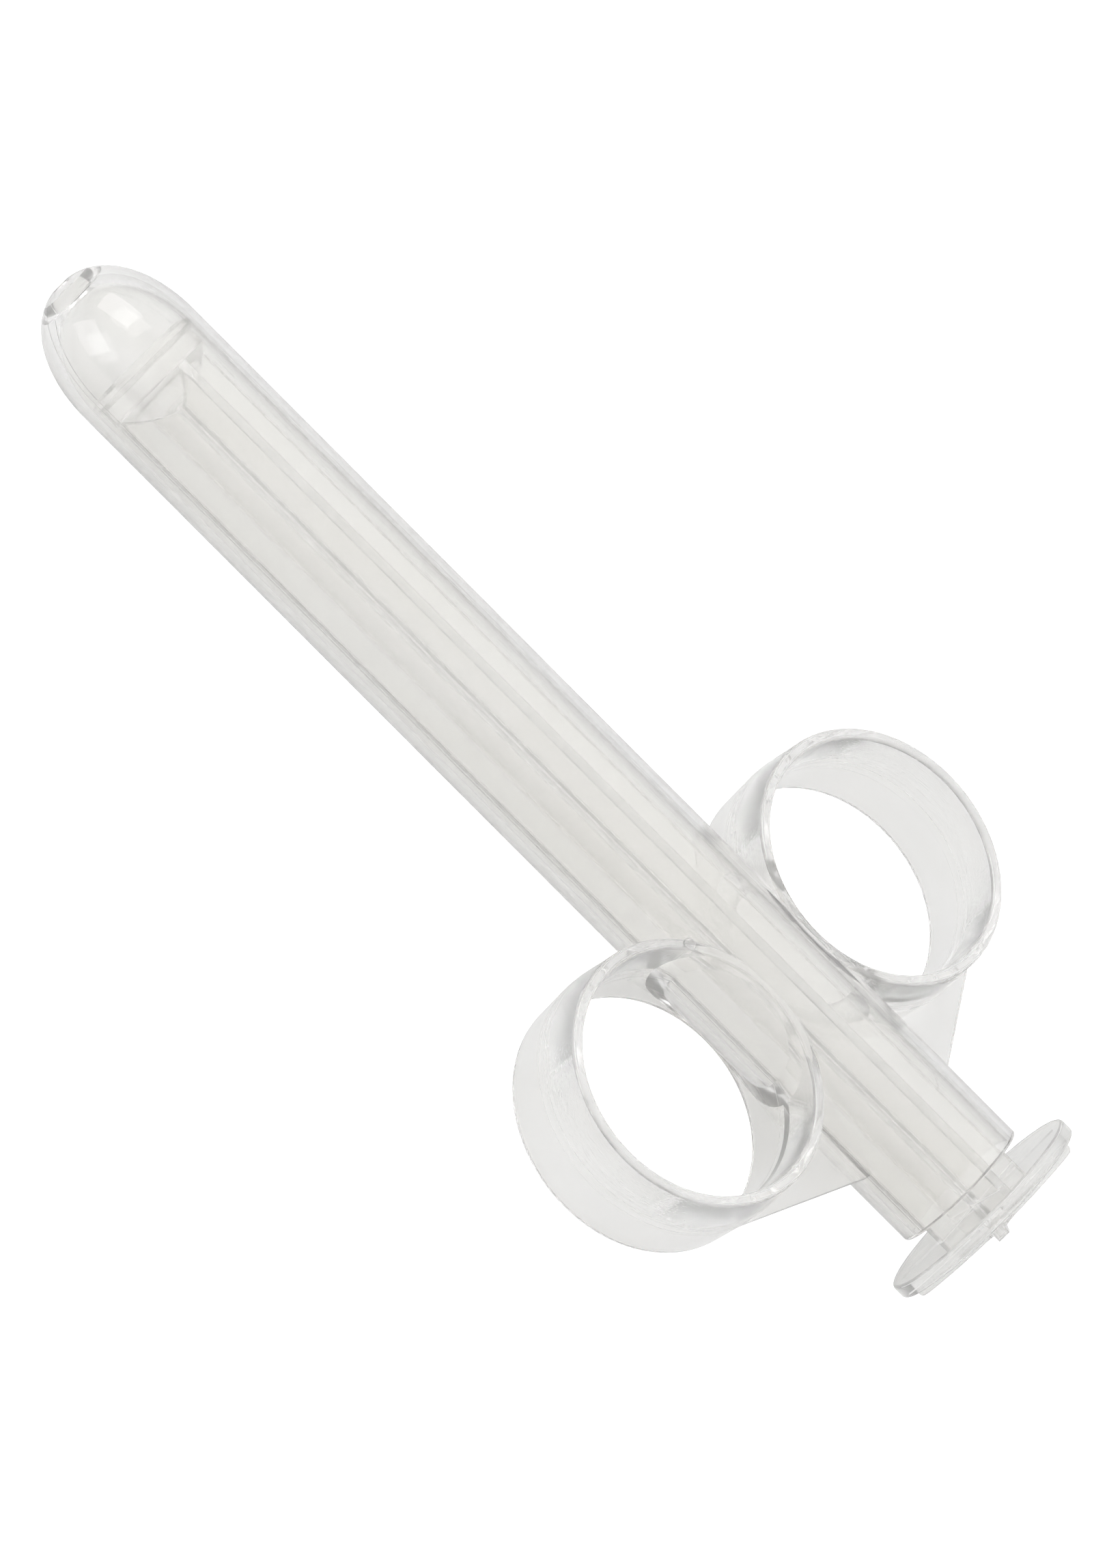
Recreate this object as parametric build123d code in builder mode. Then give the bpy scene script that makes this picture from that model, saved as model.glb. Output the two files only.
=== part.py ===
"""Finger-ring plunger injector: a clear moulded barrel and a clear moulded plunger.

Millimetres. The barrel lies along X. The origin is the centre of the outlet in the
nose, +X runs back towards the thumb and +Z is the axis of the two finger rings.
"""
import os
from math import acos, atan2, cos, hypot, sin

from build123d import *

# Barrel moulding
barrel_radius = 8.25
bore_radius = 7.1
tube_length = 124.3
nose_length = 12.05
rim_round = 0.35
rim_lead_in = 0.3

# Nose: a blunt superelliptic dome with a small outlet in a thin end wall
nose_power = 2.15
outlet_radius = 1.2
well_radius = 2.7
well_depth_in_nose = 10.75
well_crown = 0.65
cavity_depth = 9.05
cavity_reach = 10.2
outline_steps = 12

# Finger rings: drafted bands that meet at a narrow mid-plane land
ring_offset = 19.5
ring_from_rim = 30.5
ring_width = 13.5
ring_edge_outer = 15.25
ring_edge_inner = 14.0
ring_mid_outer = 15.7
ring_mid_inner = 13.65
ring_land = 1.1
ring_edge_round = 0.4

# Webs behind the rings
web_thickness = 1.0
web_from_rim = 8.5

# Plunger moulding
piston_clearance = 0.06
lip_thickness = 0.55
lip_before_shoulder = 0.12
flange_thickness = 1.6
flange_before_shoulder = 0.6
flange_face_radius = 6.3
boss_radius = 6.6
boss_straight = 1.9
boss_cap = 3.7
boss_mid_radius = 3.5
boss_mid_depth = 1.35
boss_tip_radius = 0.8
rib_span = 13.1
rib_thickness = 1.15
rib_root_fillet = 0.55
rib_edge_round = 0.2
rib_angle = 11.0
thumb_gap = 2.4
thumb_radius = 12.75
thumb_thickness = 1.8
thumb_edge_round = 0.35
grip_reach = 11.3
grip_thickness = 1.5
grip_height_centre = 2.0
grip_height_end = 1.4
grip_end_round = 0.5
grip_root_fillet = 1.6
grip_angle = 42.0

# Stations along X, worked out from the dimensions above
shoulder_x = nose_length
rim_x = shoulder_x + tube_length
ring_x = rim_x - ring_from_rim
lip_front_x = shoulder_x - lip_before_shoulder
flange_front_x = shoulder_x - flange_before_shoulder
flange_back_x = flange_front_x + flange_thickness
cap_start_x = flange_back_x + boss_straight
boss_end_x = cap_start_x + boss_cap
disc_front_x = rim_x + thumb_gap
disc_back_x = disc_front_x + thumb_thickness


def save(piece, label):
    """Label a finished piece and write it as its own STEP file."""
    piece.part.label = label
    export_step(piece.part, f"parts/{label}.step")


def from_axis(edge):
    """Distance of an edge's middle from the barrel's axis."""
    return hypot(edge.center().Y, edge.center().Z)


def nose_outline():
    """Points of the dome's outside, from the shoulder to the outlet's edge."""
    outlet_share = (1 - (outlet_radius / barrel_radius) ** nose_power) ** (1 / nose_power)
    reach = nose_length / outlet_share
    outlet_height = barrel_radius * (1 - outlet_share**nose_power) ** (1 / nose_power)
    last_angle = acos((outlet_height / barrel_radius) ** (nose_power / 2))
    points = []
    for step in range(outline_steps + 1):
        angle = last_angle * step / outline_steps
        forward = reach * sin(angle) ** (2 / nose_power)
        points.append((shoulder_x - forward, barrel_radius * cos(angle) ** (2 / nose_power)))
    return points


os.makedirs("parts", exist_ok=True)

# Barrel tube, open at the rear rim
with BuildPart() as barrel_tube:
    with BuildSketch(Plane.YZ.offset(shoulder_x)):
        Circle(barrel_radius)
        Circle(bore_radius, mode=Mode.SUBTRACT)
    extrude(amount=tube_length)
    rim_edges = barrel_tube.edges().filter_by(GeomType.CIRCLE).group_by(Axis.X)[-1]
    fillet(rim_edges.sort_by(SortBy.RADIUS)[-1], rim_round)
    rim_edges = barrel_tube.edges().filter_by(GeomType.CIRCLE).group_by(Axis.X)[-1]
    chamfer(rim_edges.sort_by(SortBy.RADIUS)[0], rim_lead_in)
save(barrel_tube, "barrel_tube")

# Nose dome with its cavity, the narrower well ahead of it and the outlet
cavity_end_radius = bore_radius * (1 - (cavity_depth / cavity_reach) ** 2) ** 0.5
cap_radius = (well_radius**2 + well_crown**2) / (2 * well_crown)
cap_fall = cap_radius - (cap_radius**2 - outlet_radius**2) ** 0.5
well_edge_x = shoulder_x - well_depth_in_nose
well_end_x = well_edge_x - well_crown + cap_fall
cavity_end_x = shoulder_x - cavity_depth
cap_mid_radius = (outlet_radius + well_radius) / 2
cap_mid_fall = cap_radius - (cap_radius**2 - cap_mid_radius**2) ** 0.5

with BuildPart() as nose_dome:
    with BuildSketch(Plane.XY):
        with BuildLine():
            outside = nose_outline()
            Spline(outside, tangents=[(-1, 0), (0, -1)])
            Line(outside[-1], (well_end_x, outlet_radius))
            ThreePointArc(
                (well_end_x, outlet_radius),
                (well_edge_x - well_crown + cap_mid_fall, cap_mid_radius),
                (well_edge_x, well_radius),
            )
            Line((well_edge_x, well_radius), (cavity_end_x, well_radius))
            Line((cavity_end_x, well_radius), (cavity_end_x, cavity_end_radius))
            inside = []
            for step in range(outline_steps + 1):
                depth = cavity_depth * (1 - step / outline_steps)
                height = bore_radius * (1 - (depth / cavity_reach) ** 2) ** 0.5
                inside.append((shoulder_x - depth, height))
            Spline(inside)
            Line(inside[-1], outside[0])
        make_face()
    revolve(axis=Axis.X)
save(nose_dome, "nose_dome")

# Finger rings and their webs, one pair each side
for side, word in ((1, "right"), (-1, "left")):
    ring_y = side * ring_offset
    half_width = ring_width / 2
    half_land = ring_land / 2

    with BuildPart() as finger_ring:
        with BuildSketch(Plane((ring_x, ring_y, 0), x_dir=(1, 0, 0), z_dir=(0, -1, 0))):
            with BuildLine():
                Polyline(
                    (ring_edge_inner, -half_width),
                    (ring_edge_outer, -half_width),
                    (ring_mid_outer, -half_land),
                    (ring_mid_outer, half_land),
                    (ring_edge_outer, half_width),
                    (ring_edge_inner, half_width),
                    (ring_mid_inner, half_land),
                    (ring_mid_inner, -half_land),
                    close=True,
                )
            make_face()
        revolve(axis=Axis((ring_x, ring_y, 0), (0, 0, 1)))
        face_edges = finger_ring.edges().group_by(Axis.Z)
        fillet(face_edges[0] + face_edges[-1], ring_edge_round)
        with BuildSketch(Plane.YZ.offset(shoulder_x)):
            Circle(barrel_radius)
        extrude(amount=tube_length, mode=Mode.SUBTRACT)
    save(finger_ring, f"finger_ring_{word}")

    # The web's rear edge leaves the tube and runs tangent to the ring
    start_x = rim_x - web_from_rim
    to_ring = (ring_x - start_x, ring_offset - barrel_radius)
    span = hypot(*to_ring)
    lean = atan2(to_ring[1], to_ring[0]) - acos((span**2 - ring_mid_outer**2) ** 0.5 / span)
    tangent_length = (span**2 - ring_mid_outer**2) ** 0.5
    touch = (start_x + tangent_length * cos(lean), barrel_radius + tangent_length * sin(lean))

    with BuildPart() as ring_web:
        with BuildSketch(Plane.XY):
            with BuildLine():
                Polyline(
                    (start_x, 0),
                    (start_x, side * barrel_radius),
                    (touch[0], side * touch[1]),
                    (ring_x, ring_y),
                    (ring_x, 0),
                    close=True,
                )
            make_face()
            with Locations((ring_x, ring_y)):
                Circle(ring_mid_outer, mode=Mode.SUBTRACT)
        extrude(amount=web_thickness / 2, both=True)
        with BuildSketch(Plane.YZ.offset(shoulder_x)):
            Circle(barrel_radius)
        extrude(amount=tube_length, mode=Mode.SUBTRACT)
    save(ring_web, f"ring_web_{word}")

# Piston head: a flange with a thin wiping lip, and a pointed boss behind it
lip_radius = bore_radius - piston_clearance
cap_outline = [
    (cap_start_x, boss_radius),
    (boss_end_x - boss_mid_depth, boss_mid_radius),
    (boss_end_x, boss_tip_radius),
    (boss_end_x, 0),
]

with BuildPart() as piston_head:
    with BuildSketch(Plane.XY):
        with BuildLine():
            Polyline(
                (boss_end_x, 0),
                (flange_front_x, 0),
                (flange_front_x, flange_face_radius),
                (lip_front_x, lip_radius),
                (lip_front_x + lip_thickness, lip_radius),
                (flange_back_x, boss_radius),
                *cap_outline,
            )
        make_face()
    revolve(axis=Axis.X)
save(piston_head, "piston_head")

# Plunger rod: four ribs that grow out of the boss
with BuildPart() as plunger_rod:
    for angle in (rib_angle, rib_angle + 90):
        with BuildSketch(Plane.YZ.offset(cap_start_x)):
            Rectangle(rib_span, rib_thickness, rotation=angle)
        extrude(amount=disc_front_x - cap_start_x)
    long_edges = plunger_rod.edges().filter_by(Axis.X)
    fillet(long_edges.filter_by(lambda edge: from_axis(edge) < rib_thickness), rib_root_fillet)
    long_edges = plunger_rod.edges().filter_by(Axis.X)
    fillet(long_edges.filter_by(lambda edge: from_axis(edge) > rib_span / 3), rib_edge_round)
    with BuildSketch(Plane.XY):
        with BuildLine():
            Polyline(*cap_outline, (cap_start_x, 0), close=True)
        make_face()
    revolve(axis=Axis.X, mode=Mode.SUBTRACT)
save(plunger_rod, "plunger_rod")

# Thumb disc
with BuildPart() as thumb_disc:
    with BuildSketch(Plane.YZ.offset(disc_front_x)):
        Circle(thumb_radius)
    extrude(amount=thumb_thickness)
    fillet(thumb_disc.edges().filter_by(GeomType.CIRCLE), thumb_edge_round)
save(thumb_disc, "thumb_disc")

# Raised cross on the thumb side, crowned towards its centre
with BuildPart() as thumb_grip:
    with BuildSketch(Plane.YZ.offset(disc_back_x)) as grip_plan:
        for angle in (grip_angle, grip_angle + 90):
            Rectangle(2 * grip_reach, grip_thickness, rotation=angle)
        fillet(grip_plan.vertices().sort_by_distance((0, 0))[:4], grip_root_fillet)
    extrude(amount=grip_height_centre)
    with BuildSketch(Plane.XY) as crown:
        with BuildLine():
            end_x = disc_back_x + grip_height_end
            Polyline(
                (disc_back_x + grip_height_centre, 0),
                (disc_back_x, 0),
                (disc_back_x, grip_reach),
                (end_x, grip_reach),
            )
            TangentArc(
                (disc_back_x + grip_height_centre, 0), (end_x, grip_reach), tangent=(0, 1)
            )
        make_face()
        fillet(crown.vertices().sort_by_distance((end_x, grip_reach))[0], grip_end_round)
    revolve(axis=Axis.X, mode=Mode.INTERSECT)
save(thumb_grip, "thumb_grip")
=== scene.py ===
"""Looks of a clear finger-ring plunger injector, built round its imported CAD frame.

Metres, in the CAD frame: the barrel lies along X from the outlet at the origin to the
thumb disc, and Z is the axis of the finger rings. Each moulding is one closed mesh, so
that no inner face shows in the clear plastic.
"""
import math

import bpy
import bmesh
from mathutils import Matrix, Vector


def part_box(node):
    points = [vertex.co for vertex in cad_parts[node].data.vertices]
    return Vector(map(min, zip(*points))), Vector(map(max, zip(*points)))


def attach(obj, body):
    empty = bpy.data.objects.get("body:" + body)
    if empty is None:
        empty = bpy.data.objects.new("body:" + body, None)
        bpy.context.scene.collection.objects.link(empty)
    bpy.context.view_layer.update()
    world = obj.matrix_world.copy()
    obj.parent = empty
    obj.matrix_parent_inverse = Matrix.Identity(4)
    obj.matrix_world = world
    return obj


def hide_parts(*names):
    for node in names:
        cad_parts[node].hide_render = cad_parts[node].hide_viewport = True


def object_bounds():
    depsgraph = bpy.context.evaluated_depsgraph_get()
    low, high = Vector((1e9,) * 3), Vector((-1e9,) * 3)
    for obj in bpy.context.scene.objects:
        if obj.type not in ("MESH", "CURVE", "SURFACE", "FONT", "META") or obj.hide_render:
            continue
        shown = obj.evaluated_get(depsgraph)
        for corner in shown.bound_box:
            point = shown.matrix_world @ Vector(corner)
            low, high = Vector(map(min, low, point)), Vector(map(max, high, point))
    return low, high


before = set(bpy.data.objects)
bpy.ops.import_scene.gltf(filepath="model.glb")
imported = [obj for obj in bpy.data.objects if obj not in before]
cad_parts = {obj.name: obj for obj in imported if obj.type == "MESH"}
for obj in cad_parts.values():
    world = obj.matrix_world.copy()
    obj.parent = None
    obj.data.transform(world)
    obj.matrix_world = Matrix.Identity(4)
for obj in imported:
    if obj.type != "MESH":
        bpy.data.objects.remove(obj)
cad_low, cad_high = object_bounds()

MM = 0.001

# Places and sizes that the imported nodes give
tube_low, tube_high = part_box("barrel_tube")
nose_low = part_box("nose_dome")[0]
ring_low, ring_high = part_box("finger_ring_right")
head_low, head_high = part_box("piston_head")
disc_low, disc_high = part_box("thumb_disc")
shoulder_x = tube_low.x
rim_x = tube_high.x
barrel_radius = tube_high.z
ring_outer = (ring_high.x - ring_low.x) / 2
ring_x = (ring_high.x + ring_low.x) / 2
ring_y = ring_high.y - ring_outer
ring_half_width = ring_high.z
flange_radius = head_high.z
boss_end_x = head_high.x
disc_radius = disc_high.z

# Wall sections, in the same numbers as the CAD
bore_radius = 7.1 * MM
outlet_radius = 1.2 * MM
nose_power = 2.15
well_radius = 2.7 * MM
well_depth_in_nose = 10.75 * MM
well_crown = 0.65 * MM
cavity_depth = 9.05 * MM
cavity_reach = 10.2 * MM
ring_edge_outer = 15.25 * MM
ring_edge_inner = 14.0 * MM
ring_mid_inner = 13.65 * MM
ring_land = 1.1 * MM
web_thickness = 1.0 * MM
web_from_rim = 8.5 * MM
lip_before_shoulder = 0.12 * MM
lip_thickness = 0.55 * MM
flange_thickness = 1.6 * MM
flange_face_radius = 6.3 * MM
boss_radius = 6.6 * MM
boss_cap = 3.7 * MM
boss_mid_radius = 3.5 * MM
boss_mid_depth = 1.35 * MM
rib_half_span = 6.55 * MM
rib_thickness = 1.15 * MM
rib_root_fillet = 0.55 * MM
rib_edge_round = 0.2 * MM
rib_angle = math.radians(11)
grip_angle = math.radians(42)
grip_reach = 11.3 * MM
grip_thickness = 1.5 * MM
grip_height_centre = 2.0 * MM
grip_height_end = 1.4 * MM
grip_end_round = 0.5 * MM
grip_root_fillet = 1.6 * MM

# How finely round shapes are divided
TUBE_STEPS = 360
RING_STEPS = 288
PLUNGER_STEPS = 240
NUB_STEPS = 48
CORNER_STEPS = 6
TUBE_ROW = 4 * MM
TUBE_ROWS = 30

SHARP = math.radians(32)
ON_AXIS = 1e-9
SAME_POINT = 0.5e-6
NO_LENGTH = 0.2e-6


# ---------------------------------------------------------------- mesh helpers
def rounded(corners, steps=CORNER_STEPS):
    """A closed outline whose corners (x, y, radius) are replaced by arcs."""
    points = []
    count = len(corners)
    for i, (x, y, radius) in enumerate(corners):
        here = Vector((x, y))
        if radius <= 0:
            points.append(here)
            continue
        back = (Vector(corners[i - 1][:2]) - here).normalized()
        ahead = (Vector(corners[(i + 1) % count][:2]) - here).normalized()
        half = back.angle(ahead) / 2
        reach = radius / math.tan(half)
        middle = here + (back + ahead).normalized() * (radius / math.sin(half))
        first = here + back * reach - middle
        last = here + ahead * reach - middle
        for k in range(steps + 1):
            spoke = first.lerp(last, k / steps).normalized() * radius
            points.append(middle + spoke)
    return points


def new_object(name, mesh_maker):
    """A mesh object from a bmesh with its normals turned outward."""
    bmesh.ops.recalc_face_normals(mesh_maker, faces=mesh_maker.faces)
    mesh = bpy.data.meshes.new(name)
    mesh_maker.to_mesh(mesh)
    mesh_maker.free()
    made = bpy.data.objects.new(name, mesh)
    bpy.context.scene.collection.objects.link(made)
    return made


def lathe(name, outline, steps, place):
    """A closed solid turned from (along, radius) points that start and end on the axis,
    or from a closed outline that stays off it. place(along, radius, angle) puts a point."""
    bm = bmesh.new()
    rows = []
    for along, radius in outline:
        if radius < ON_AXIS:
            rows.append([bm.verts.new(place(along, 0.0, 0.0))] * steps)
        else:
            angles = [2 * math.pi * k / steps for k in range(steps)]
            rows.append([bm.verts.new(place(along, radius, a)) for a in angles])
    starts_on_axis = outline[0][1] < ON_AXIS
    for i in range(len(rows) - 1 if starts_on_axis else len(rows)):
        this, after = rows[i], rows[(i + 1) % len(rows)]
        for k in range(steps):
            ring = [this[k], this[(k + 1) % steps], after[(k + 1) % steps], after[k]]
            corners = list(dict.fromkeys(ring))
            if len(corners) > 2:
                bm.faces.new(corners)
    return new_object(name, bm)


def prism(name, outline, start, end, place):
    """A closed solid between start and end. place(along, u, v) puts a point."""
    bm = bmesh.new()
    near = [bm.verts.new(place(start, u, v)) for u, v in outline]
    far = [bm.verts.new(place(end, u, v)) for u, v in outline]
    bm.faces.new(near)
    bm.faces.new(far[::-1])
    count = len(outline)
    for k in range(count):
        bm.faces.new([near[k], far[k], far[(k + 1) % count], near[(k + 1) % count]])
    return new_object(name, bm)


def combine(base, tools, operation):
    """base with each tool joined or cut, as one mesh. The tools are used up."""
    for tool in tools:
        step = base.modifiers.new("step", "BOOLEAN")
        step.operation = operation
        step.solver = "EXACT"
        step.object = tool
        done = base.evaluated_get(bpy.context.evaluated_depsgraph_get())
        mesh = bpy.data.meshes.new_from_object(done)
        base.modifiers.clear()
        base.data = mesh
        bpy.data.objects.remove(tool)
    return base


def finish_mesh(piece):
    """Merges stray points and shades smooth up to the sharp moulded edges."""
    bm = bmesh.new()
    bm.from_mesh(piece.data)
    bmesh.ops.remove_doubles(bm, verts=bm.verts, dist=SAME_POINT)
    bmesh.ops.dissolve_degenerate(bm, edges=bm.edges, dist=NO_LENGTH)
    bm.to_mesh(piece.data)
    bm.free()
    piece.data.shade_smooth()
    piece.data.set_sharp_from_angle(angle=SHARP)
    # Large faces keep their own normals, so that flat walls refract as flat
    weigh = piece.modifiers.new("flat walls", "WEIGHTED_NORMAL")
    weigh.mode = "FACE_AREA_WITH_ANGLE"
    weigh.weight = 60
    weigh.keep_sharp = True
    return piece


def about_barrel(along, radius, angle):
    """Cylinder coordinates round the barrel's axis."""
    return Vector((along, radius * math.cos(angle), radius * math.sin(angle)))


# ---------------------------------------------------------------- barrel moulding
def nose_outline(steps=56):
    """The dome's outside, from the outlet's edge to the shoulder."""
    length = shoulder_x - nose_low.x
    share = (1 - (outlet_radius / barrel_radius) ** nose_power) ** (1 / nose_power)
    reach = length / share
    last = math.acos((outlet_radius / barrel_radius) ** (nose_power / 2))
    points = []
    for step in range(steps, -1, -1):
        angle = last * step / steps
        forward = reach * math.sin(angle) ** (2 / nose_power)
        height = barrel_radius * math.cos(angle) ** (2 / nose_power)
        points.append((shoulder_x - forward, height))
    return points


def barrel_outside():
    """The tube and dome as one solid, with a rounded rear rim."""
    rim_round = 0.35 * MM
    outline = [(nose_low.x, 0.0)] + nose_outline()
    outline += [(shoulder_x + TUBE_ROW * k, barrel_radius) for k in range(1, TUBE_ROWS + 1)]
    for k in range(CORNER_STEPS + 1):
        turn = math.pi / 2 * k / CORNER_STEPS
        back = rim_x - rim_round + rim_round * math.sin(turn)
        outline.append((back, barrel_radius - rim_round + rim_round * math.cos(turn)))
    outline.append((rim_x, 0.0))
    return lathe("barrel_moulding", outline, TUBE_STEPS, about_barrel)


def barrel_inside():
    """The bore, the nose cavity, its well and the outlet, as a solid to cut away."""
    flare = 0.12 * MM
    lead_in = 0.3 * MM
    beyond = 1.0 * MM
    ease = 0.15 * MM
    well_steps = 8
    cavity_steps = 40
    well_edge = shoulder_x - well_depth_in_nose
    well_top = well_edge - well_crown
    cap_radius = (well_radius**2 + well_crown**2) / (2 * well_crown)
    outline = [(-beyond, 0.0), (-beyond, outlet_radius + flare + beyond)]
    outline += [(0.0, outlet_radius + flare), (flare, outlet_radius)]
    for k in range(well_steps + 1):
        radius = outlet_radius + (well_radius - outlet_radius) * k / well_steps
        fall = cap_radius - math.sqrt(cap_radius**2 - radius**2)
        outline.append((well_top + fall, radius))
    outline.append((shoulder_x - cavity_depth - ease, well_radius))
    outline.append((shoulder_x - cavity_depth, well_radius + ease))
    for k in range(cavity_steps + 1):
        depth = cavity_depth * (1 - k / cavity_steps)
        height = bore_radius * math.sqrt(1 - (depth / cavity_reach) ** 2)
        outline.append((shoulder_x - depth, height))
    outline += [(shoulder_x + TUBE_ROW * k, bore_radius) for k in range(1, TUBE_ROWS + 1)]
    outline.append((rim_x - lead_in, bore_radius))
    outline.append((rim_x + beyond, bore_radius + lead_in + beyond))
    outline.append((rim_x + beyond, 0.0))
    return lathe("inside", outline, TUBE_STEPS, about_barrel)


def finger_ring(side):
    """One drafted ring band with its mid-plane land."""
    soft = 0.12 * MM
    edge = 0.4 * MM
    half_land = ring_land / 2
    corners = [
        (-ring_half_width, ring_edge_inner, edge),
        (-half_land, ring_mid_inner, soft),
        (half_land, ring_mid_inner, soft),
        (ring_half_width, ring_edge_inner, edge),
        (ring_half_width, ring_edge_outer, edge),
        (half_land, ring_outer, soft),
        (-half_land, ring_outer, soft),
        (-ring_half_width, ring_edge_outer, edge),
    ]

    def place(along, radius, angle):
        across = side * (ring_y + radius * math.sin(angle))
        return Vector((ring_x + radius * math.cos(angle), across, along))

    return lathe("ring", [tuple(p) for p in rounded(corners)], RING_STEPS, place)


def ring_web(side):
    """The flat web behind a ring: its rear edge runs from the tube to touch the ring."""
    start_x = rim_x - web_from_rim
    to_ring = Vector((ring_x - start_x, ring_y - barrel_radius))
    span = to_ring.length
    touch_length = math.sqrt(span**2 - ring_outer**2)
    lean = math.atan2(to_ring.y, to_ring.x) - math.acos(touch_length / span)
    touch = Vector((start_x, barrel_radius))
    touch += touch_length * Vector((math.cos(lean), math.sin(lean)))
    into_ring = 0.9 * MM
    into_tube = 2 * MM
    inner = ring_outer - into_ring
    first = math.atan2(touch.y - ring_y, touch.x - ring_x)
    outline = [(start_x, into_tube), (start_x, barrel_radius), tuple(touch)]
    steps = 40
    last = -math.pi / 2
    for k in range(steps + 1):
        angle = first + (last - first) * k / steps
        outline.append((ring_x + inner * math.cos(angle), ring_y + inner * math.sin(angle)))
    outline.append((ring_x, into_tube))

    def place(along, u, v):
        return Vector((u, side * v, along))

    return prism("web", outline, -web_thickness / 2, web_thickness / 2, place)


def gate_nub():
    """What is left of the moulding gate, on the upper edge of the left ring."""
    radius = 0.75 * MM
    height = 0.22 * MM
    sunk = 0.8 * MM
    edge = 0.12 * MM
    corners = [
        (-sunk, 0.0, 0.0),
        (-sunk, radius, 0.0),
        (height, radius, edge),
        (height, 0.0, 0.0),
    ]
    gate_angle = math.radians(221)
    reach = (ring_edge_inner + ring_edge_outer) / 2
    x = ring_x + reach * math.sin(gate_angle)
    y = -ring_y - reach * math.cos(gate_angle)

    def place(along, size, angle):
        across = size * math.sin(angle)
        return Vector((x + size * math.cos(angle), y + across, ring_half_width + along))

    return lathe("gate", [tuple(p) for p in rounded(corners)], NUB_STEPS, place)


def build_barrel():
    """The whole barrel moulding, hollow and open at both ends."""
    piece = barrel_outside()
    extras = [finger_ring(1), finger_ring(-1), ring_web(1), ring_web(-1), gate_nub()]
    combine(piece, extras, "UNION")
    combine(piece, [barrel_inside()], "DIFFERENCE")
    return finish_mesh(piece)


# ---------------------------------------------------------------- plunger moulding
def piston_head():
    """The wiping flange with its thin lip, and the pointed boss behind it."""
    soft = 0.1 * MM
    front = head_low.x
    back = front + flange_thickness
    lip = shoulder_x - lip_before_shoulder
    cap = boss_end_x - boss_cap
    middle = (boss_end_x - boss_mid_depth, boss_mid_radius)
    corners = [
        (front, 0.0, 0.0),
        (front, flange_face_radius, soft),
        (lip, flange_radius, soft),
        (lip + lip_thickness, flange_radius, soft),
        (back, boss_radius, 2 * soft),
    ]
    outline = [tuple(p) for p in rounded(corners, steps=4)]
    steps = 40
    for k in range(steps + 1):
        share = k / steps
        # A curve through the cap's edge, its middle and its tip
        before = (1 - share) * (1 - 2 * share)
        within = 4 * share * (1 - share)
        after = share * (2 * share - 1)
        radius = before * boss_radius + within * middle[1]
        x = before * cap + within * middle[0] + after * boss_end_x
        outline.append((x, max(radius, 0.0)))
    return lathe("plunger_moulding", outline, PLUNGER_STEPS, about_barrel)


def along_barrel(turn):
    """Places a cross-section point, turned about the barrel's axis."""
    def place(along, u, v):
        y = u * math.cos(turn) - v * math.sin(turn)
        z = u * math.sin(turn) + v * math.cos(turn)
        return Vector((along, y, z))
    return place


def cross_outline(reach, thickness, root, tip):
    """A four-armed cross with filleted roots and rounded tips."""
    half = thickness / 2
    corners = []
    for quarter in range(4):
        c, s = [(1, 0), (0, 1), (-1, 0), (0, -1)][quarter]
        for u, v, r in ((reach, -half, tip), (reach, half, tip), (half, half, root)):
            corners.append((u * c - v * s, u * s + v * c, r))
    return [tuple(p) for p in rounded(corners, steps=8)]


def rod():
    """The rod of four ribs, which grow out of the boss."""
    into_disc = 0.5 * MM
    into_boss = 0.2 * MM
    rear = disc_low.x + into_disc
    section = cross_outline(rib_half_span, rib_thickness, rib_root_fillet, rib_edge_round)
    start = boss_end_x - boss_cap - into_boss
    return prism("rod", section, start, rear, along_barrel(rib_angle))


def thumb_disc():
    """The thumb disc with rounded edges."""
    edge = 0.35 * MM
    corners = [
        (disc_low.x, 0.0, 0.0),
        (disc_low.x, disc_radius, edge),
        (disc_high.x, disc_radius, edge),
        (disc_high.x, 0.0, 0.0),
    ]
    outline = [tuple(p) for p in rounded(corners)]
    return lathe("disc", outline, PLUNGER_STEPS, about_barrel)


def thumb_grip():
    """The raised cross on the thumb side, crowned towards its centre."""
    base = disc_high.x
    into_disc = 0.6 * MM
    above_crown = 3 * MM
    below_cross = 1 * MM
    tip_round = 0.25 * MM
    section = cross_outline(grip_reach, grip_thickness, grip_root_fillet, tip_round)
    cross = prism(
        "grip", section, base - into_disc, base + above_crown, along_barrel(grip_angle)
    )
    fall = grip_height_centre - grip_height_end
    crown = (grip_reach**2 + fall**2) / (2 * fall)
    outline = [(base - below_cross, 0.0), (base - below_cross, grip_reach)]
    for k in range(CORNER_STEPS + 1):
        turn = math.pi / 2 * k / CORNER_STEPS
        x = base + grip_height_end - grip_end_round + grip_end_round * math.sin(turn)
        outline.append((x, grip_reach - grip_end_round + grip_end_round * math.cos(turn)))
    steps = 24
    for k in range(1, steps + 1):
        radius = (grip_reach - grip_end_round) * (1 - k / steps)
        sag = crown - math.sqrt(crown**2 - radius**2)
        outline.append((base + grip_height_centre - sag, radius))
    cap = lathe("cap", outline, PLUNGER_STEPS, about_barrel)
    return combine(cross, [cap], "INTERSECT")


def build_plunger():
    """The whole plunger moulding."""
    piece = piston_head()
    combine(piece, [rod(), thumb_disc(), thumb_grip()], "UNION")
    return finish_mesh(piece)


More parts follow.
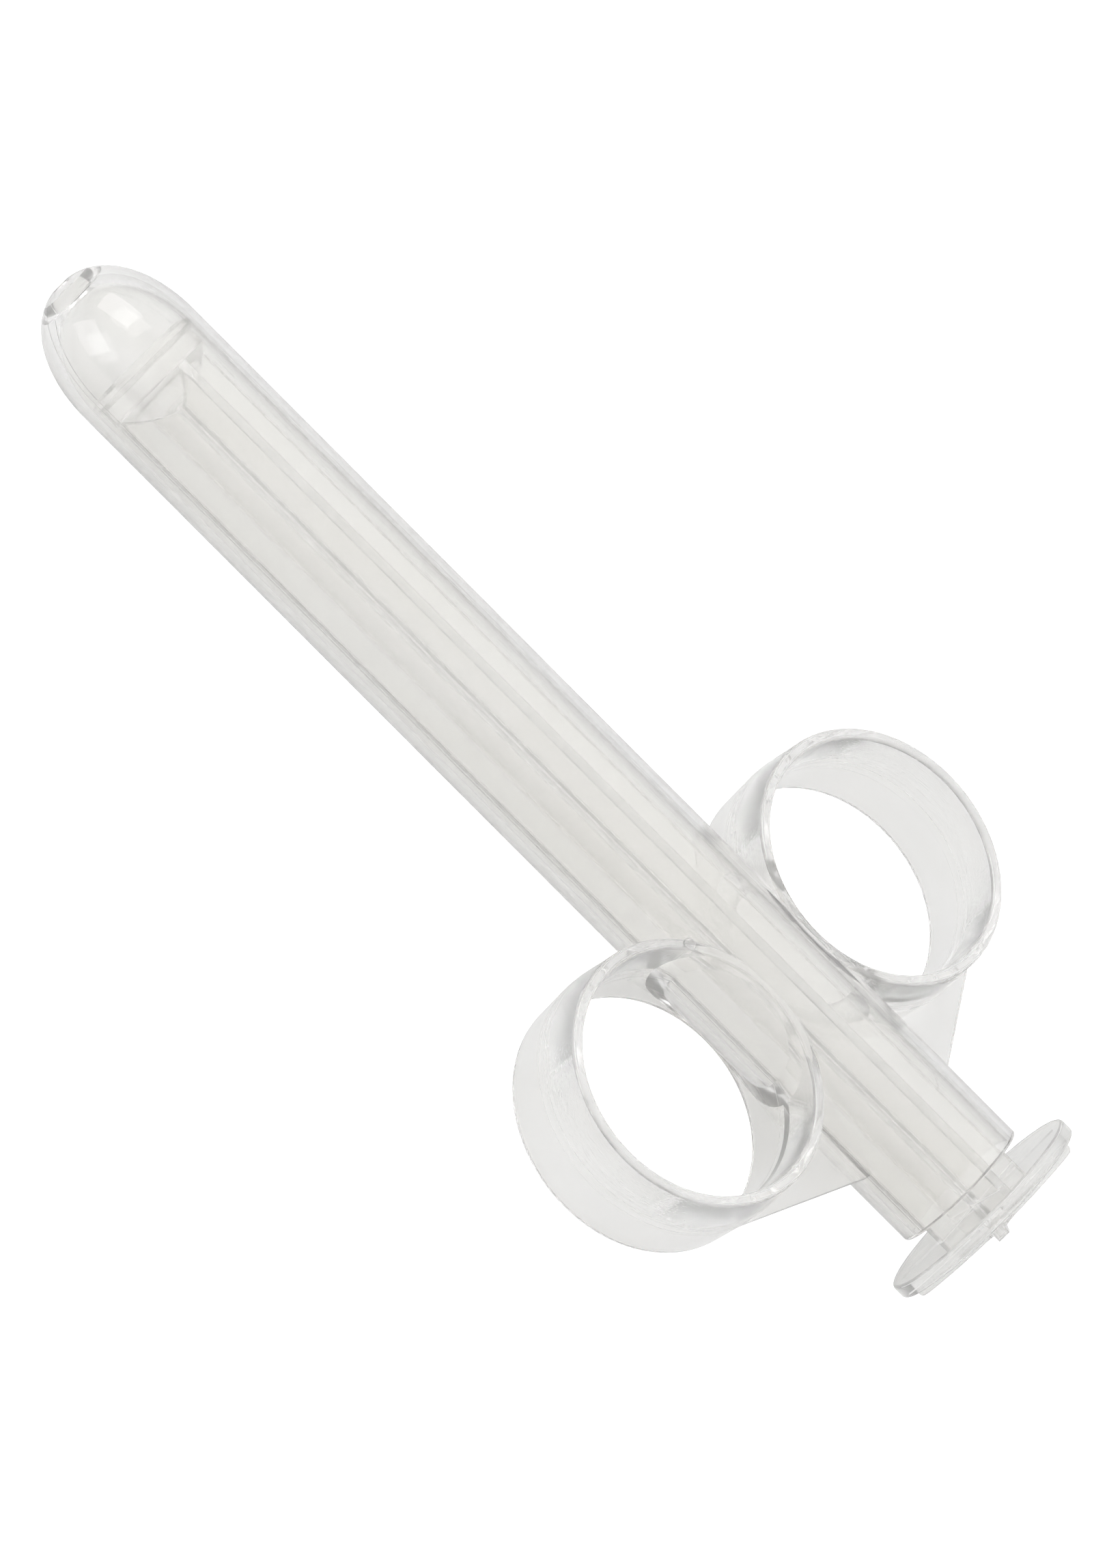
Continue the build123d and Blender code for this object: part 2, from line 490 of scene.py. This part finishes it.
# ---------------------------------------------------------------- materials
def noise(tree, stretch, scale, detail):
    """Noise over a piece, in cells per metre, with its axes scaled by stretch."""
    place = tree.nodes.new("ShaderNodeTexCoord")
    mapping = tree.nodes.new("ShaderNodeMapping")
    mapping.inputs["Scale"].default_value = stretch
    pattern = tree.nodes.new("ShaderNodeTexNoise")
    pattern.inputs["Scale"].default_value = scale
    pattern.inputs["Detail"].default_value = detail
    tree.links.new(place.outputs["Object"], mapping.inputs["Vector"])
    tree.links.new(mapping.outputs["Vector"], pattern.inputs["Vector"])
    return pattern.outputs["Fac"]


def ranged(tree, value, source, target):
    """value carried smoothly from the source range to the target range."""
    node = tree.nodes.new("ShaderNodeMapRange")
    node.interpolation_type = "SMOOTHSTEP"
    node.inputs["From Min"].default_value = source[0]
    node.inputs["From Max"].default_value = source[1]
    node.inputs["To Min"].default_value = target[0]
    node.inputs["To Max"].default_value = target[1]
    tree.links.new(value, node.inputs["Value"])
    return node.outputs["Result"]


def total(tree, first, second):
    """The sum of two values."""
    node = tree.nodes.new("ShaderNodeMath")
    node.operation = "ADD"
    tree.links.new(first, node.inputs[0])
    tree.links.new(second, node.inputs[1])
    return node.outputs["Value"]


def bumped(tree, height, distance, under=None):
    """A normal that stands up by distance where height is 1, over another normal."""
    node = tree.nodes.new("ShaderNodeBump")
    node.inputs["Distance"].default_value = distance
    tree.links.new(height, node.inputs["Height"])
    if under is not None:
        tree.links.new(under, node.inputs["Normal"])
    return node.outputs["Normal"]


def parting_line(tree, width):
    """1 on the mid-plane of the mould, falling to 0 at half the width from it."""
    place = tree.nodes.new("ShaderNodeTexCoord")
    split = tree.nodes.new("ShaderNodeSeparateXYZ")
    size = tree.nodes.new("ShaderNodeMath")
    size.operation = "ABSOLUTE"
    tree.links.new(place.outputs["Object"], split.inputs["Vector"])
    tree.links.new(split.outputs["Z"], size.inputs[0])
    return ranged(tree, size.outputs["Value"], source=(0.0, width / 2), target=(1.0, 0.0))


def clear_plastic(name, clarity, handling, line_width):
    """Clear moulded plastic, milky where clarity is below 1, with streaks and shallow
    ripples along it, a few specks, hair scratches that handling roughens and, with a
    line width, a parting line."""
    material = bpy.data.materials.new(name)
    material.use_nodes = True
    tree = material.node_tree
    shader = tree.nodes["Principled BSDF"]
    shader.inputs["Transmission Weight"].default_value = clarity
    shader.inputs["IOR"].default_value = 1.49

    ripple_height = 0.006 * MM
    mark_height = 0.002 * MM
    line_height = 0.03 * MM
    flow = noise(tree, stretch=(0.25, 1, 1), scale=110, detail=2)
    ripple = noise(tree, stretch=(0.12, 1, 1), scale=260, detail=1)
    # Only the peaks of fine noise count, as thin hairs along the moulding or as specks
    long_grain = noise(tree, stretch=(0.07, 1, 1), scale=5200, detail=0)
    hairs = ranged(tree, long_grain, source=(0.66, 0.74), target=(0.0, 1.0))
    round_grain = noise(tree, stretch=(1, 1, 1), scale=1700, detail=0)
    specks = ranged(tree, round_grain, source=(0.77, 0.81), target=(0.0, 1.0))

    tints = tree.nodes.new("ShaderNodeValToRGB")
    tints.color_ramp.elements[0].position = 0.35
    tints.color_ramp.elements[0].color = (0.976, 0.971, 0.956, 1)
    tints.color_ramp.elements[1].position = 0.65
    tints.color_ramp.elements[1].color = (0.99, 0.987, 0.979, 1)
    tree.links.new(flow, tints.inputs["Fac"])
    tree.links.new(tints.outputs["Color"], shader.inputs["Base Color"])

    haze = ranged(tree, flow, source=(0.3, 0.7), target=(0.035, 0.07))
    marks = ranged(tree, hairs, source=(0.0, 1.0), target=(0.0, handling))
    tree.links.new(total(tree, haze, marks), shader.inputs["Roughness"])

    normal = bumped(tree, ripple, ripple_height)
    normal = bumped(tree, total(tree, hairs, specks), mark_height, normal)
    if line_width:
        normal = bumped(tree, parting_line(tree, line_width), line_height, normal)
    tree.links.new(normal, shader.inputs["Normal"])
    return material


def seen_or_felt(tree, seen, felt):
    """One value where the camera looks straight at a surface, and another for the light
    that reaches the object, as on a cut-out product picture."""
    path = tree.nodes.new("ShaderNodeLightPath")
    node = tree.nodes.new("ShaderNodeMix")
    node.inputs["A"].default_value = felt
    node.inputs["B"].default_value = seen
    tree.links.new(path.outputs["Is Camera Ray"], node.inputs["Factor"])
    return node


def floor_material():
    """Matt grey paper with a faint glow for the light that reaches the object. The camera
    sees it glow white."""
    material = bpy.data.materials.new("pale_floor")
    material.use_nodes = True
    tree = material.node_tree
    shader = tree.nodes["Principled BSDF"]
    shader.inputs["Base Color"].default_value = (0.5, 0.5, 0.5, 1)
    shader.inputs["Roughness"].default_value = 0.9
    shader.inputs["Specular IOR Level"].default_value = 0.0
    shader.inputs["Emission Color"].default_value = (1, 1, 1, 1)
    glow = seen_or_felt(tree, seen=1.0, felt=0.3)
    tree.links.new(glow.outputs["Result"], shader.inputs["Emission Strength"])
    return material


# ---------------------------------------------------------------- stage
def add_floor():
    """A wide pale floor just under the lowest point of the object."""
    size = 6.0
    gap = 0.05 * MM
    bm = bmesh.new()
    bmesh.ops.create_grid(bm, x_segments=1, y_segments=1, size=size / 2)
    floor = new_object("floor", bm)
    floor.location = ((cad_low.x + cad_high.x) / 2, 0, cad_low.z - gap)
    floor.data.materials.append(floor_material())


def add_softbox(name, direction, size, power):
    """A square soft light that hangs in a direction from the object and faces it."""
    data = bpy.data.lights.new(name, "AREA")
    data.shape = "SQUARE"
    data.size = size
    data.energy = power
    distance = 0.8
    light = bpy.data.objects.new(name, data)
    way = Vector(direction).normalized()
    light.location = (cad_low + cad_high) / 2 + way * distance
    light.rotation_mode = "QUATERNION"
    light.rotation_quaternion = (-way).to_track_quat("-Z", "Y")
    bpy.context.scene.collection.objects.link(light)


def add_world(horizon, zenith):
    """A room that grows lighter from the horizon to the zenith. The camera sees it white."""
    world = bpy.data.worlds.new("room")
    world.use_nodes = True
    tree = world.node_tree
    background = tree.nodes["Background"]
    place = tree.nodes.new("ShaderNodeTexCoord")
    split = tree.nodes.new("ShaderNodeSeparateXYZ")
    tree.links.new(place.outputs["Generated"], split.inputs["Vector"])
    level = ranged(tree, split.outputs["Z"], source=(0.0, 0.8), target=(horizon, zenith))
    shown = seen_or_felt(tree, seen=1.0, felt=1.0)
    # The level takes the place of the felt value
    tree.links.new(level, shown.inputs["A"])
    tree.links.new(shown.outputs["Result"], background.inputs["Strength"])
    background.inputs["Color"].default_value = (1, 1, 1, 1)
    bpy.context.scene.world = world


def open_light_paths():
    """Lets light run along inside the clear walls, where it bounces many times."""
    inside_walls = 32
    cycles = bpy.context.scene.cycles
    cycles.max_bounces = inside_walls
    cycles.transmission_bounces = inside_walls
    cycles.glossy_bounces = inside_walls
    cycles.diffuse_bounces = 12
    cycles.blur_glossy = 0.0


def add_camera():
    """Looks down at the object from the outlet's side, rolled so the barrel runs down
    the frame from upper left to lower right."""
    azimuth, elevation, roll = (math.radians(a) for a in (5.64, 50.38, 49.41))
    distance = 0.81
    off_centre = Vector((3.825, 3.5, -4.9)) * MM
    aim = (cad_low + cad_high) / 2 + off_centre
    forward = Vector((
        math.sin(azimuth) * math.cos(elevation),
        math.cos(azimuth) * math.cos(elevation),
        -math.sin(elevation),
    ))
    data = bpy.data.cameras.new("camera")
    data.lens = 172.7
    data.sensor_width = 36
    data.clip_start = 0.01
    camera = bpy.data.objects.new("camera", data)
    turn = forward.to_track_quat("-Z", "Y").to_matrix() @ Matrix.Rotation(roll, 3, "Z")
    camera.matrix_world = Matrix.Translation(aim - forward * distance) @ turn.to_4x4()
    bpy.context.scene.collection.objects.link(camera)
    bpy.context.scene.camera = camera


barrel = build_barrel()
barrel.data.materials.clear()
barrel_plastic = clear_plastic(
    "clear_barrel", clarity=0.91, handling=0.1, line_width=0.12 * MM
)
barrel.data.materials.append(barrel_plastic)
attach(barrel, "barrel")
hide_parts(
    "barrel_tube", "nose_dome", "finger_ring_left", "finger_ring_right",
    "ring_web_left", "ring_web_right",
)

plunger = build_plunger()
plunger.data.materials.clear()
plunger_plastic = clear_plastic(
    "clear_plunger", clarity=0.82, handling=0.06, line_width=0.0
)
plunger.data.materials.append(plunger_plastic)
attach(plunger, "plunger")
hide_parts("piston_head", "plunger_rod", "thumb_disc", "thumb_grip")

add_floor()
add_world(horizon=0.05, zenith=1.12)
add_softbox("overhead", direction=(-0.64, 0.08, 0.79), size=0.45, power=1.3)
add_softbox("side", direction=(-0.65, -0.71, 0.27), size=0.45, power=1.3)
open_light_paths()
add_camera()
bpy.context.scene.view_settings.view_transform = "Standard"
